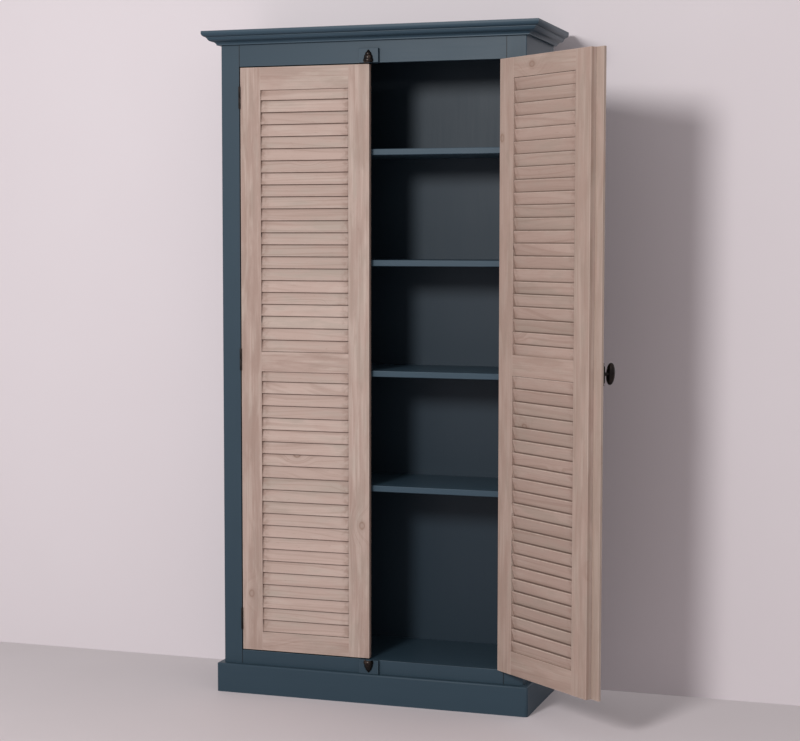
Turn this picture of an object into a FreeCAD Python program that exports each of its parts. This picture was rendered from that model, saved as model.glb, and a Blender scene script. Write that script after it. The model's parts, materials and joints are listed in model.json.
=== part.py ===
import FreeCAD, Part

import math
import os

# A tall two-door cupboard with louvred doors. A painted carcass of boards carries a face frame,
# a mitred cornice and a mitred plinth. Two pine doors with fixed slats hang on butt hinges. The
# right door carries a strip that laps over the left door, and on it a surface bolt: its oval knob
# turns a pinion, which drives one rod up and one rod down into keepers on the frame. The left door
# is held by a small bolt inside. The left door is drawn shut and the right door open.
#
# Millimetres. X runs to the right, Y to the back, Z up. The origin is on the floor, under the
# middle of the front plinth board.

# ---- Carcass ----
carcass_width = 1000.0
carcass_depth = 348.0            # from the face of the face frame to the back
overall_height = 2123.0
side_thickness = 18.0
board_thickness = 18.0
board_housing = 6.0              # how far floor and top are let into the sides
back_thickness = 8.0
back_rebate = 10.0
cornice_lip = 18.0               # how far the cornice stands above the carcass

# ---- Face frame ----
frame_thickness = 20.0
frame_stile_width = 62.0
top_rail_show = 68.5             # top rail between the doors and the cornice
bottom_rail_width = 78.0
frame_arris = 2.5
frame_tenon_length = 30.0
frame_tenon_thickness = 8.0

# ---- Plinth and cornice ----
plinth_height = 94.0
plinth_thickness = 20.0
plinth_round = 6.0
plinth_corner_round = 9.0        # upright corners of the plinth
cornice_height = 42.5
cornice_soffit = 11.5            # flat under the cornice, outside the frame
cornice_bead = 3.0               # upright below the cove
cornice_cove = (10.0, 7.5)       # out and up
cornice_cove_hollow = 1.2        # depth behind the straight line from edge to edge
cornice_swell = (13.5, 11.0)     # out and up
cornice_swell_bulge = 3.0        # height over the straight line from edge to edge
cornice_fillet = (2.0, 2.5)      # out and up
cornice_ovolo_radius = 12.0

# ---- Shelves ----
shelf_levels = (0.2832, 0.4700, 0.6485, 0.8261)   # shelf tops, in heights of the room inside
shelf_thickness = 19.0
shelf_front_setback = 30.0       # shelf front behind the face of the frame
shelf_back_gap = 2.0
shelf_side_gap = 1.0
shelf_round = 2.0
batten_width = 20.0
batten_height = 22.0
batten_splay = 12.0              # how far a batten's front end slopes back
batten_setback = 8.0             # batten behind the shelf front

# ---- Doors ----
door_thickness = 19.0
door_side_gap = 2.5
door_end_gap = 3.5
meeting_gap = 4.0
door_stile_width = 69.0
door_top_rail_width = 66.0       # rail widths are taken half way through the thickness
door_mid_rail_width = 63.0
door_bottom_rail_width = 66.0
mid_rail_raise = 7.5             # middle of the mid rail above the middle of the door
rail_lip_step = 11.0             # step in a rail's edge, over and under the slats
door_tenon_thickness = 7.0
door_tenon_length = 40.0
tenon_shoulder = 12.0
tenon_fit = 0.1
door_arris = 1.2
right_door_open = 141.25         # degrees between the right door as drawn and the right door shut

# ---- Slats ----
slat_thickness = 6.5
slat_width = 44.0
slat_bevel = 1.5                 # all four long corners
slat_setback = 0.9               # slats inside the faces of the door
slat_spacing = 38.3              # wanted spacing, from which the number of slats follows
slat_pocket_depth = 7.0
slat_end_gap = 0.5
slat_fit = 0.15
slat_rail_gap = 0.3

# ---- Hinges ----
hinge_leaf_height = 70.0
hinge_leaf_width = 16.0
hinge_leaf_thickness = 1.8
hinge_leaf_gap = 0.3
hinge_knuckle_radius = 3.2
hinge_knuckle_gap = 0.3
hinge_pin_radius = 1.55
hinge_pin_clearance = 0.05
hinge_front_gap = 0.3            # knuckle in front of the face of the frame
hinge_pin_proud = 1.0            # pin beyond the knuckles
hinge_top_inset = 94.0           # middle of the upper hinge from the end of the door
hinge_bottom_inset = 100.0

# ---- Meeting strip, keeper blocks and keepers ----
strip_width = 63.0
strip_thickness = 10.0
strip_relief = 0.5               # strip clear of the face of the left door
strip_round = 3.0
keeper_block_height = 44.0
keeper_block_round = 1.5
keeper_height = 39.5
keeper_radius = 16.5
keeper_grooves = ((0.85, 0.0), (0.84, 0.34), (0.62, 0.63), (0.33, 0.84))   # in radii and heights
keeper_swells = ((1.0, 0.19), (0.84, 0.49), (0.58, 0.75))
keeper_tip = (0.2, 0.94)
keeper_mortise_depth = 16.0
keeper_clearance = 1.0           # all round the end of a rod

# ---- Surface bolt on the strip ----
rod_radius = 7.0
rod_end_gap = 1.0                # drawn-back rod inside the end of the door
rod_block_gap = 0.5              # rod in front of the keeper block
slide_gap = 0.3
plate_thickness = 2.2
pinion_teeth = 12
gear_module = 1.25
pinion_addendum = 0.9            # in modules
rack_addendum = 0.7              # in modules, short because the pinion has few teeth
gear_root_gap = 0.35
gear_backlash = 0.3
pressure_angle = 20.0
flank_steps = 3
rack_thickness = 6.0
rack_backing = 4.0               # bar behind the roots of the rack
shoulder_height = 4.0
knob_turn = 90.0
spindle_radius = 4.0
spindle_clearance = 0.06
case_half_width = 22.0
case_end_wall = 3.5
case_depth = 13.0
case_front_wall = 4.0
case_corner_cut = 6.0
case_front_chamfer = 4.0
collar_length = 11.0
collar_wall = 3.5
guide_width = 36.0
guide_length = 14.0
guide_wall = 2.5
guide_end_inset = 70.0

# ---- Knob ----
knob_height = 65.0
knob_radius = 13.0
knob_bands = ((0.32, 1.0), (0.74, 0.75), (1.0, 0.25))   # turned form in radii and half heights
knob_stand = 50.0                # middle of the knob in front of the strip
knob_lean = 6.0                  # degrees off upright with the rods drawn back
rose_radius = 13.0
rose_rim = 3.0
rose_length = 15.0
neck_radius = 5.5
neck_flare = 8.0                 # radius of the neck where it enters the knob

# ---- Inside bolt on the left door ----
bolt_plate_height = 96.0
bolt_plate_width = 24.0
bolt_plate_thickness = 2.0
bolt_inset = 35.0                # middle of the bolt from the free edge of the door
bolt_radius = 4.0
bolt_throw = 14.0
staple_wall = 2.0
staple_length = 12.0
staple_round = 3.0
bolt_grip_radius = 3.5
bolt_grip_length = 13.0
strike_height = 18.0
strike_lift = 0.5                # strike above the edge of the rail
strike_clearance = 1.0           # beside and behind the bolt

overrun = 60.0                   # how far a cutting shape or an untrimmed moulding runs past the piece
near = 0.01                      # two places closer than this are one

# ---- Places that follow from the sizes ----
front = plinth_thickness / 2
back = front + carcass_depth
half_width = carcass_width / 2
opening_half = half_width - frame_stile_width
carcass_top = overall_height - cornice_lip
cornice_bottom = overall_height - cornice_height
bottom_rail_top = plinth_height + keeper_block_height
bottom_rail_bottom = bottom_rail_top - bottom_rail_width
top_rail_bottom = cornice_bottom - top_rail_show
room_half = half_width - side_thickness
room_front = front + frame_thickness
room_back = back - back_thickness
room_top = carcass_top - board_thickness
shelf_front = front + shelf_front_setback
shelf_back = room_back - shelf_back_gap

door_bottom = bottom_rail_top + door_end_gap
door_top = top_rail_bottom - door_end_gap
door_middle = (door_bottom + door_top) / 2
door_hinge_edge = opening_half - door_side_gap
door_free_edge = meeting_gap / 2
field_hinge_edge = door_hinge_edge - door_stile_width
field_free_edge = door_free_edge + door_stile_width
door_back = front + door_thickness
mid_rail_middle = door_middle + mid_rail_raise

hinge_x = opening_half - door_side_gap / 2
hinge_y = front - hinge_knuckle_radius - hinge_front_gap
hinge_levels = (door_bottom + hinge_bottom_inset, mid_rail_middle, door_top - hinge_top_inset)

strip_front = front - strip_thickness
plate_front = strip_front - plate_thickness
rod_flat = plate_front - slide_gap
keeper_face = rod_flat + rod_block_gap
rod_way = rod_radius + slide_gap
knob_level = mid_rail_middle
pitch_radius = gear_module * pinion_teeth / 2
rod_travel = pitch_radius * math.radians(knob_turn)
pinion_outer = pitch_radius + pinion_addendum * gear_module
rack_tip = pitch_radius - rack_addendum * gear_module
pinion_root = rack_tip - gear_root_gap
rack_root = pinion_outer + gear_root_gap
rack_back = rack_root + rack_backing
shoulder_near = pinion_outer + 2 * gear_root_gap
shoulder_far = shoulder_near + shoulder_height
cavity_half = shoulder_far + rod_travel + slide_gap
case_half_height = cavity_half + case_end_wall
case_front = plate_front - case_depth
collar_reach = case_half_height + collar_length
knob_y = strip_front - knob_stand
spindle_end = knob_y + knob_radius / 2

bolt_x = -(door_free_edge + bolt_inset)
bolt_plate_back = door_back + bolt_plate_thickness
bolt_way = bolt_radius + slide_gap
bolt_y = bolt_plate_back + bolt_way
bolt_plate_top = door_top - rod_end_gap
bolt_plate_bottom = bolt_plate_top - bolt_plate_height


# ---- Makers ----
def point(x, y, z):
    """A place in space."""
    return FreeCAD.Vector(x, y, z)


def block(x_range, y_range, z_range):
    """A board between two places on each axis, given in either order."""
    ranges = (x_range, y_range, z_range)
    low = point(*[min(r) for r in ranges])
    return Part.makeBox(*[max(r) - min(r) for r in ranges], low)


def round_bar(radius, start, end):
    """A round bar between two points."""
    run = end - start
    return Part.makeCylinder(radius, run.Length, start, run)


def half_round(radius, flat_y, z_range):
    """A half-round upright bar on the middle line, with its flat side to the back."""
    bar = round_bar(radius, point(0, flat_y, min(z_range)), point(0, flat_y, max(z_range)))
    return bar.cut(block((-radius, radius), (flat_y, flat_y + radius), z_range))


def section(outline, place):
    """A flat face inside an outline of lines (start, end) and arcs (start, on the way, end)."""
    edges = []
    for run in outline:
        points = [place(*p) for p in run]
        curve = Part.Arc(*points) if len(points) == 3 else Part.LineSegment(*points)
        edges.append(curve.toShape())
    return Part.Face(Part.Wire(edges))


def polygon(points, place):
    """A flat face inside straight lines through the points."""
    corners = [place(*p) for p in points]
    return Part.Face(Part.makePolygon(corners + corners[:1]))


def along_x(points, x_range):
    """An outline of (y, z) points run from one X to another."""
    return polygon(points, lambda y, z: point(x_range[0], y, z)).extrude(point(x_range[1] - x_range[0], 0, 0))


def along_y(points, y_range):
    """An outline of (x, z) points run from one Y to another."""
    return polygon(points, lambda x, z: point(x, y_range[0], z)).extrude(point(0, y_range[1] - y_range[0], 0))


def quarter(start, end, centre):
    """An arc of a quarter circle as (start, on the way, end)."""
    radius = math.dist(start, centre)
    toward = [(s + e) / 2 - c for s, e, c in zip(start, end, centre)]
    scale = radius / math.hypot(*toward)
    return start, tuple(c + t * scale for c, t in zip(centre, toward)), end


def shallow_arc(start, end, depth):
    """An arc as (start, on the way, end), whose middle lies to the left of the line by a depth."""
    share = depth / math.dist(start, end)
    run = [e - s for s, e in zip(start, end)]
    return start, ((start[0] + end[0]) / 2 - run[1] * share, (start[1] + end[1]) / 2 + run[0] * share), end


def softened(shape, radius, wanted):
    """The shape with each straight edge rounded that a test on its middle and direction picks."""
    straight = [edge for edge in shape.Edges if isinstance(edge.Curve, Part.Line)]
    return shape.makeFillet(radius, [e for e in straight if wanted(e.CenterOfMass, e.Curve.Direction)])


def upright_at(x, y):
    """A test for the upright edge at one place in plan."""
    return lambda middle, run: abs(run.z) > 1 - near and math.dist((middle.x, middle.y), (x, y)) < near


def on_plane_y(y):
    """A test for the edges that lie in one plane across the depth."""
    return lambda middle, run: abs(middle.y - y) < near and abs(run.y) < near


def united(shapes):
    """One solid from overlapping shapes."""
    return shapes[0].multiFuse(shapes[1:]).removeSplitter()


# ---- Carcass ----
def shelf_top(level):
    """Height of a shelf's top face."""
    return bottom_rail_top + level * (room_top - bottom_rail_top)


def side_panel(side):
    """A side board, rebated for the back and housed for floor and top."""
    inner = side * room_half
    floor_low = bottom_rail_top - board_thickness
    panel = block((inner, side * half_width), (room_front, back), (0, carcass_top))
    cuts = [block((inner, side * (room_half + back_rebate)), (room_back, back), (floor_low, carcass_top))]
    for low in (floor_low, room_top):
        housing = (inner, side * (room_half + board_housing))
        cuts.append(block(housing, (room_front, room_back), (low, low + board_thickness)))
    return panel.cut(cuts)


def housed_board(low):
    """The floor or the top: a board let into both sides."""
    reach = room_half + board_housing
    return block((-reach, reach), (room_front, room_back), (low, low + board_thickness))


def back_panel():
    """A thin sheet in the rebates of the sides, from under the floor board to the top."""
    reach = room_half + back_rebate
    return block((-reach, reach), (room_back, back), (bottom_rail_top - board_thickness, carcass_top))


def frame_tenon(side, low, high):
    """The tenon on one end of a frame rail."""
    middle = front + frame_thickness / 2
    thickness = (middle - frame_tenon_thickness / 2, middle + frame_tenon_thickness / 2)
    reach = (side * opening_half, side * (opening_half + frame_tenon_length))
    return block(reach, thickness, (low + tenon_shoulder, high - tenon_shoulder))


def frame_rail(low, high):
    """A rail of the face frame with a tenon on each end."""
    rail = block((-opening_half, opening_half), (front, room_front), (low, high))
    return united([rail] + [frame_tenon(side, low, high) for side in (-1, 1)])


def frame_stile(side):
    """A stile of the face frame, mortised for the rails and let in for the hinge leaves."""
    outer = side * half_width
    stile = block((side * opening_half, outer), (front, room_front), (0, carcass_top))
    stile = softened(stile, frame_arris, upright_at(outer, front))
    rails = ((bottom_rail_bottom, bottom_rail_top), (top_rail_bottom, carcass_top))
    cuts = [frame_tenon(side, low, high) for low, high in rails]
    cuts += [leaf_plate(side, level, 1) for level in hinge_levels]
    return stile.cut(cuts)


def shelf(level):
    """A loose shelf with its front edge softened above and below."""
    reach = room_half - shelf_side_gap
    top = shelf_top(level)
    board = block((-reach, reach), (shelf_front, shelf_back), (top - shelf_thickness, top))
    limit = shelf_front + near
    return softened(board, shelf_round, lambda middle, run: abs(run.x) > near and middle.y < limit)


def shelf_battens():
    """The battens on both sides that the shelves rest on, with their front ends sloped back."""
    start = shelf_front + batten_setback
    battens = []
    for level in shelf_levels:
        top = shelf_top(level) - shelf_thickness
        foot = top - batten_height
        outline = [(start, top), (shelf_back, top), (shelf_back, foot), (start + batten_splay, foot)]
        for side in (-1, 1):
            battens.append(along_x(outline, (side * room_half, side * (room_half - batten_width))))
    return Part.makeCompound(battens)


# ---- Mitred mouldings ----
def cornice_outline():
    """The cornice's section as (out from the frame, up): cove, swell, fillet, ovolo and lip."""
    foot = (0, cornice_bottom)
    soffit = (cornice_soffit, cornice_bottom)
    bead = (soffit[0], soffit[1] + cornice_bead)
    cove = (bead[0] + cornice_cove[0], bead[1] + cornice_cove[1])
    swell = (cove[0] + cornice_swell[0], cove[1] + cornice_swell[1])
    step = (swell[0] + cornice_fillet[0], swell[1])
    rise = (step[0], step[1] + cornice_fillet[1])
    ovolo = (rise[0] + cornice_ovolo_radius, rise[1] + cornice_ovolo_radius)
    lip = (ovolo[0], overall_height)
    head = (0, overall_height)
    outline = [(foot, soffit), (soffit, bead)]
    outline += [shallow_arc(bead, cove, cornice_cove_hollow), shallow_arc(cove, swell, -cornice_swell_bulge)]
    outline += [(swell, step), (step, rise), quarter(rise, ovolo, (rise[0], ovolo[1]))]
    return outline + [(ovolo, lip), (lip, head), (head, foot)]


def plinth_outline():
    """The plinth's section: a board whose top outer edge is rounded."""
    face = (plinth_thickness, plinth_height - plinth_round)
    crown = (plinth_thickness - plinth_round, plinth_height)
    foot = (plinth_thickness, 0)
    rounding = quarter(face, crown, (crown[0], face[1]))
    return [((0, 0), foot), (foot, face), rounding, (crown, (0, plinth_height)), ((0, plinth_height), (0, 0))]


def mitre_waste(side, length_runs_across):
    """The wedge beyond the mitre at a front corner that a front or a side length must lose."""
    corner = (side * half_width, front)
    far = (side * (half_width + 2 * overrun), front - 2 * overrun)
    beyond = (far[0], corner[1]) if length_runs_across else (corner[0], far[1])
    wedge = polygon((corner, far, beyond), lambda x, y: point(x, y, -near))
    return wedge.extrude(point(0, 0, overall_height + 2 * near))


def corner_waste(side):
    """What the plinth loses where its upright front corner is rounded."""
    reach, radius = half_width + plinth_thickness, plinth_corner_round
    middle = (side * (reach - radius), front - plinth_thickness + radius)
    corner = block((middle[0], side * reach), (middle[1] - radius, middle[1]), (0, plinth_height))
    return corner.cut(round_bar(radius, point(*middle, 0), point(*middle, plinth_height)))


def front_moulding(outline):
    """A moulding across the front, mitred at both ends."""
    reach = half_width + overrun
    face = section(outline, lambda out, up: point(-reach, front - out, up))
    return face.extrude(point(2 * reach, 0, 0)).cut([mitre_waste(side, True) for side in (-1, 1)])


def side_moulding(side, outline):
    """A moulding along one side, mitred at the front and square at the back."""
    start = front - overrun
    face = section(outline, lambda out, up: point(side * (half_width + out), start, up))
    return face.extrude(point(0, back - start, 0)).cut(mitre_waste(side, False))


# ---- Louvres ----
slat_flat = slat_width - 2 * slat_bevel
slat_edge_half = slat_thickness / 2 - slat_bevel
slat_corner_angle = math.atan2(slat_thickness, slat_flat)
slat_run = door_thickness - 2 * slat_setback
slat_tilt = math.asin(slat_run / math.hypot(slat_flat, slat_thickness)) - slat_corner_angle
slat_toe = slat_edge_half * math.sin(slat_tilt)
slat_rise = slat_width * math.cos(slat_tilt) + 2 * slat_toe
slat_lead = slat_thickness / 2 * math.cos(slat_tilt) - slat_bevel * math.sin(slat_tilt)
slat_foot_y = front + slat_setback + slat_lead


def on_slat(foot, up, through):
    """The (y, z) point at a distance up a slat, and through it, from the middle of its lower edge."""
    sine, cosine = math.sin(slat_tilt), math.cos(slat_tilt)
    return foot[0] + up * sine + through * cosine, foot[1] + up * cosine - through * sine


def field_limits(field):
    """The heights of a field of slats: the sill's edge outside and the head's edge inside."""
    half_step = rail_lip_step / 2
    half_mid = door_mid_rail_width / 2
    if field == "upper":
        low, high = mid_rail_middle + half_mid, door_top - door_top_rail_width
    else:
        low, high = door_bottom + door_bottom_rail_width, mid_rail_middle - half_mid
    return low - half_step, high + half_step


def slat_feet(field):
    """The (y, z) middles of the lower edges of all the slats in a field."""
    sill, head = field_limits(field)
    lowest = sill + slat_rail_gap
    highest = head - slat_rail_gap - slat_rise
    steps = round((highest - lowest) / slat_spacing)
    pitch = (highest - lowest) / steps
    return [(slat_foot_y, lowest + slat_toe + k * pitch) for k in range(steps + 1)]


def slat(foot, x_range):
    """One slat: a thin board with bevelled long corners, its top leaning inwards."""
    half = slat_thickness / 2
    top_bevel = slat_width - slat_bevel
    inner = [(0, slat_edge_half), (slat_bevel, half), (top_bevel, half), (slat_width, slat_edge_half)]
    outer = [(up, -through) for up, through in reversed(inner)]
    return along_x([on_slat(foot, up, through) for up, through in inner + outer], x_range)


def slats(side, field):
    """All the slats of one field of a door, their ends in the pockets of the stiles."""
    bite = slat_pocket_depth - slat_end_gap
    x_range = (side * (field_free_edge - bite), side * (field_hinge_edge + bite))
    return Part.makeCompound([slat(foot, x_range) for foot in slat_feet(field)])


def slat_pocket(foot, x_range):
    """The slanted pocket for a slat's end."""
    half = slat_thickness / 2 + slat_fit
    low, high = -slat_fit, slat_width + slat_fit
    corners = ((low, -half), (high, -half), (high, half), (low, half))
    return along_x([on_slat(foot, up, through) for up, through in corners], x_range)


# ---- Doors ----
def sill_edge(sill):
    """The upper edge of a rail, outside to inside: flat, then sloping up behind the lowest slat."""
    foot = (slat_foot_y, sill + slat_rail_gap + slat_toe)
    y, z = on_slat(foot, 0, slat_thickness / 2 + slat_rail_gap)
    slope = math.tan(slat_tilt)
    lip = sill + rail_lip_step
    return [(front, sill), (y + (sill - z) * slope, sill), (y + (lip - z) * slope, lip), (door_back, lip)]


def head_edge(head):
    """The lower edge of a rail, inside to outside: a sill's edge turned half round."""
    return [(front + door_back - y, -z) for y, z in sill_edge(-head)]


def tenon_heights(name):
    """The heights of the tenons of one door rail."""
    if name == "top":
        return door_top - door_top_rail_width + tenon_shoulder, door_top - tenon_shoulder
    if name == "bottom":
        return door_bottom + tenon_shoulder, door_bottom + door_bottom_rail_width - tenon_shoulder
    half = door_mid_rail_width / 2 - tenon_shoulder
    return mid_rail_middle - half, mid_rail_middle + half


def rail_tenon(side, end, name, fit=0.0):
    """The tenon on one end of a door rail, or its mortise when a fit is given."""
    if end == "hinge":
        reach = (field_hinge_edge, field_hinge_edge + door_tenon_length + fit)
    else:
        reach = (field_free_edge, field_free_edge - door_tenon_length - fit)
    middle = (front + door_back) / 2
    half = door_tenon_thickness / 2 + fit
    low, high = tenon_heights(name)
    return block([side * x for x in reach], (middle - half, middle + half), (low - fit, high + fit))


def door_rail(side, name):
    """A door rail: stepped where it meets the slats, with a tenon on each end."""
    if name == "top":
        outline = [(front, door_top), (door_back, door_top)] + head_edge(field_limits("upper")[1])
    elif name == "mid":
        outline = sill_edge(field_limits("upper")[0]) + head_edge(field_limits("lower")[1])
    else:
        outline = sill_edge(field_limits("lower")[0]) + [(door_back, door_bottom), (front, door_bottom)]
    rail = along_x(outline, (side * field_free_edge, side * field_hinge_edge))
    return united([rail] + [rail_tenon(side, end, name) for end in ("hinge", "meeting")])


def door_stile(side, end):
    """A door stile with soft arrises, mortises for the rails and a pocket for every slat."""
    edge, field = (door_hinge_edge, field_hinge_edge) if end == "hinge" else (door_free_edge, field_free_edge)
    into = 1 if edge > field else -1
    stile = block((side * edge, side * field), (front, door_back), (door_bottom, door_top))
    for y in (front, door_back):
        stile = softened(stile, door_arris, upright_at(side * edge, y))
    pocket_x = (side * field, side * (field + into * slat_pocket_depth))
    cuts = [slat_pocket(foot, pocket_x) for name in ("upper", "lower") for foot in slat_feet(name)]
    cuts += [rail_tenon(side, end, name, tenon_fit) for name in ("top", "mid", "bottom")]
    if end == "hinge":
        cuts += [leaf_plate(side, level, -1) for level in hinge_levels]
    return stile.cut(cuts)


# ---- Hinges ----
def leaf_plate(side, level, outward):
    """The flat of a hinge leaf: on the frame's side of the pin (1) or on the door's (-1)."""
    reach = (hinge_leaf_gap / 2, hinge_leaf_gap / 2 + hinge_leaf_thickness)
    half = hinge_leaf_height / 2
    x_range = [side * (hinge_x + outward * x) for x in reach]
    return block(x_range, (hinge_y, front + hinge_leaf_width), (level - half, level + half))


def hinge_barrel(side, radius, low, high):
    """A round bar on the axis of a door's hinges."""
    return round_bar(radius, point(side * hinge_x, hinge_y, low), point(side * hinge_x, hinge_y, high))


def hinge_leaf(side, level, outward):
    """A leaf with its knuckle, bored for the pin and cut back round the other leaf's knuckle."""
    half = hinge_leaf_height / 2
    lower = (level - half, level - hinge_knuckle_gap / 2)
    upper = (level + hinge_knuckle_gap / 2, level + half)
    own, other = (lower, upper) if outward == 1 else (upper, lower)
    low, high = other[0] - hinge_knuckle_gap, other[1] + hinge_knuckle_gap
    room = hinge_barrel(side, hinge_knuckle_radius + hinge_knuckle_gap, low, high)
    knuckle = hinge_barrel(side, hinge_knuckle_radius, *own)
    leaf = united([leaf_plate(side, level, outward).cut(room), knuckle])
    bore = hinge_pin_radius if outward == 1 else hinge_pin_radius + hinge_pin_clearance
    return leaf.cut(hinge_barrel(side, bore, *own))


def hinge_leaves(side, outward):
    """The three leaves on one edge."""
    return Part.makeCompound([hinge_leaf(side, level, outward) for level in hinge_levels])


def hinge_pins(side):
    """The three pins of one door, fixed in the lower knuckles."""
    half = hinge_leaf_height / 2 + hinge_pin_proud
    pins = [hinge_barrel(side, hinge_pin_radius, level - half, level + half) for level in hinge_levels]
    return Part.makeCompound(pins)


# ---- Meeting strip, keeper blocks and keepers ----
def meeting_strip():
    """The strip planted on the right door, lapping over the left door's edge when shut."""
    half = strip_width / 2
    strip = block((-half, half), (strip_front, front), (door_bottom, door_top))
    for x in (-half, half):
        strip = softened(strip, strip_round, upright_at(x, strip_front))
    return strip.cut(block((-half, door_free_edge), (front - strip_relief, front), (door_bottom, door_top)))


def keeper_block(low):
    """A block planted on a frame rail, as wide as the strip, to carry a keeper."""
    half = strip_width / 2
    piece = block((-half, half), (keeper_face, front), (low, low + keeper_block_height))
    return softened(piece, keeper_block_round, on_plane_y(keeper_face))


def rod_passage(radius, back_y, z_range):
    """The way for a rod: half round in front, and a slot behind it back to a given face."""
    slot = block((-radius, radius), (rod_flat, back_y), z_range)
    return united([half_round(radius, rod_flat, z_range), slot])


def keeper(mouth, direction):
    """Half of a ringed cone planted on a block, with a square mortise for the end of a rod."""
    outline = list(zip(keeper_grooves, keeper_swells, keeper_grooves[1:]))
    outline += [(keeper_grooves[-1], keeper_tip, (0, 1)), ((0, 1), (0, 0)), ((0, 0), keeper_grooves[0])]
    height = direction * keeper_height
    face = section(outline, lambda r, up: point(r * keeper_radius, keeper_face, mouth + up * height))
    cone = face.revolve(point(0, keeper_face, mouth), point(0, 0, -1), 180)
    way = rod_radius + keeper_clearance
    z_range = (mouth, mouth + direction * keeper_mortise_depth)
    return cone.cut(block((-way, way), (rod_flat - way, keeper_face), z_range))


def keepers():
    """The keepers over and under the doors."""
    return Part.makeCompound([keeper(top_rail_bottom, 1), keeper(bottom_rail_top, -1)])


# ---- Surface bolt ----
def pinion_outline():
    """The pinion's outline: involute flanks outside the base circle and radial ones inside it."""
    angle = math.radians(pressure_angle)
    base = pitch_radius * math.cos(angle)
    half_tooth = math.pi / (2 * pinion_teeth) - gear_backlash / (4 * pitch_radius)
    at_base = half_tooth + math.tan(angle) - angle
    flank = [(pinion_root, at_base)]
    for step in range(flank_steps + 1):
        radius = base + (pinion_outer - base) * step / flank_steps
        roll = math.acos(base / radius)
        flank.append((radius, at_base - math.tan(roll) + roll))
    polar = []
    for tooth in range(pinion_teeth):
        middle = 2 * math.pi * tooth / pinion_teeth
        polar += [(r, middle - a) for r, a in flank]
        polar += [(r, middle + a) for r, a in reversed(flank)]
    return [(r * math.cos(a), knob_level + r * math.sin(a)) for r, a in polar]


def spindle(radius, start_y, end_y):
    """A round bar on the axis of the knob."""
    return round_bar(radius, point(0, start_y, knob_level), point(0, end_y, knob_level))


def pinion():
    """The pinion and its spindle, which passes out through the case into the knob."""
    gear = along_y(pinion_outline(), (rod_flat, rod_flat - rack_thickness))
    return united([gear, spindle(spindle_radius, strip_front - slide_gap, spindle_end)])


def rod(direction):
    """A half-round rod going up (1) or down (-1), with its rack on a shoulder beside the pinion."""
    edge = -direction
    pitch = math.pi * gear_module
    slope = math.tan(math.radians(pressure_angle))
    half_tooth = pitch / 4 - gear_backlash / 4
    tip_half = half_tooth - (pitch_radius - rack_tip) * slope
    root_half = half_tooth + (rack_root - pitch_radius) * slope
    first = math.ceil(0.5 - shoulder_near / pitch)
    last = math.ceil(rod_travel / pitch) + 1
    teeth = []
    for tooth in range(first, last):
        middle = (tooth + 0.5) * pitch
        teeth += [(rack_root, middle - root_half), (rack_tip, middle - tip_half)]
        teeth += [(rack_tip, middle + tip_half), (rack_root, middle + root_half)]
    end = last * pitch
    flank_x = rack_tip - slide_gap
    outline = [(rack_back, -shoulder_far), (-flank_x, -shoulder_far), (-flank_x, -shoulder_near),
               (rack_root, -shoulder_near)] + teeth + [(rack_root, end), (rack_back, end)]
    rack = along_y([(edge * x, knob_level - direction * z) for x, z in outline],
                   (rod_flat, rod_flat - rack_thickness))
    door_end = door_top - rod_end_gap if direction == 1 else door_bottom + rod_end_gap
    bar = half_round(rod_radius, rod_flat, (knob_level + direction * shoulder_near, door_end))
    beside_other_rack = block((-edge * flank_x, -edge * rod_radius), (rod_flat, rod_flat - rod_radius),
                              (knob_level, knob_level + direction * (end + slide_gap)))
    return united([bar.cut(beside_other_rack), rack])


def case_tongues(half, y_range):
    """A bar through the middle of the case that carries the rods' collars at both ends."""
    return block((-half, half), y_range, (knob_level - collar_reach, knob_level + collar_reach))


def case_body(y_range):
    """The case's outline, an upright oblong with cut corners, run through its depth."""
    wide, tall = case_half_width, case_half_height
    corner = [(wide, tall - case_corner_cut), (wide - case_corner_cut, tall)]
    right = [(x, -z) for x, z in reversed(corner)] + corner
    outline = right + [(-x, -z) for x, z in right]
    return along_y([(x, knob_level + z) for x, z in outline], y_range)


def case_plate():
    """The flat plate between the strip and the case, bored for the end of the spindle."""
    y_range = (strip_front, plate_front)
    plate = united([case_body(y_range), case_tongues(rod_way + collar_wall, y_range)])
    return plate.cut(spindle(spindle_radius + spindle_clearance, *y_range))


def bolt_case():
    """The cast case over the pinion, with a half-round collar where each rod comes out."""
    shell = case_body((plate_front, case_front))
    rim = [edge for edge in shell.Edges if abs(edge.CenterOfMass.y - case_front) < near]
    shell = shell.makeChamfer(case_front_chamfer, rim)
    z_range = (knob_level - collar_reach, knob_level + collar_reach)
    shell = united([shell, half_round(rod_way + collar_wall, plate_front, z_range)])
    room = rack_back + slide_gap
    cavity = block((-room, room), (plate_front, case_front + case_front_wall),
                   (knob_level - cavity_half, knob_level + cavity_half))
    bore = spindle(spindle_radius + spindle_clearance, plate_front, case_front)
    return shell.cut([cavity, rod_passage(rod_way, plate_front, z_range), bore])


def rod_guide(level):
    """A guide for a rod: a flat plate with a half-round loop."""
    z_range = (level - guide_length / 2, level + guide_length / 2)
    plate = block((-guide_width / 2, guide_width / 2), (strip_front, plate_front), z_range)
    loop = half_round(rod_way + guide_wall, plate_front, z_range)
    return united([plate, loop]).cut(rod_passage(rod_way, plate_front, z_range))


def rod_guides():
    """Two guides for each rod, one near the end of the door and one half way to the knob."""
    ends = (door_top - guide_end_inset, door_bottom + guide_end_inset)
    return Part.makeCompound([rod_guide(level) for end in ends for level in (end, (end + knob_level) / 2)])


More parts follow.
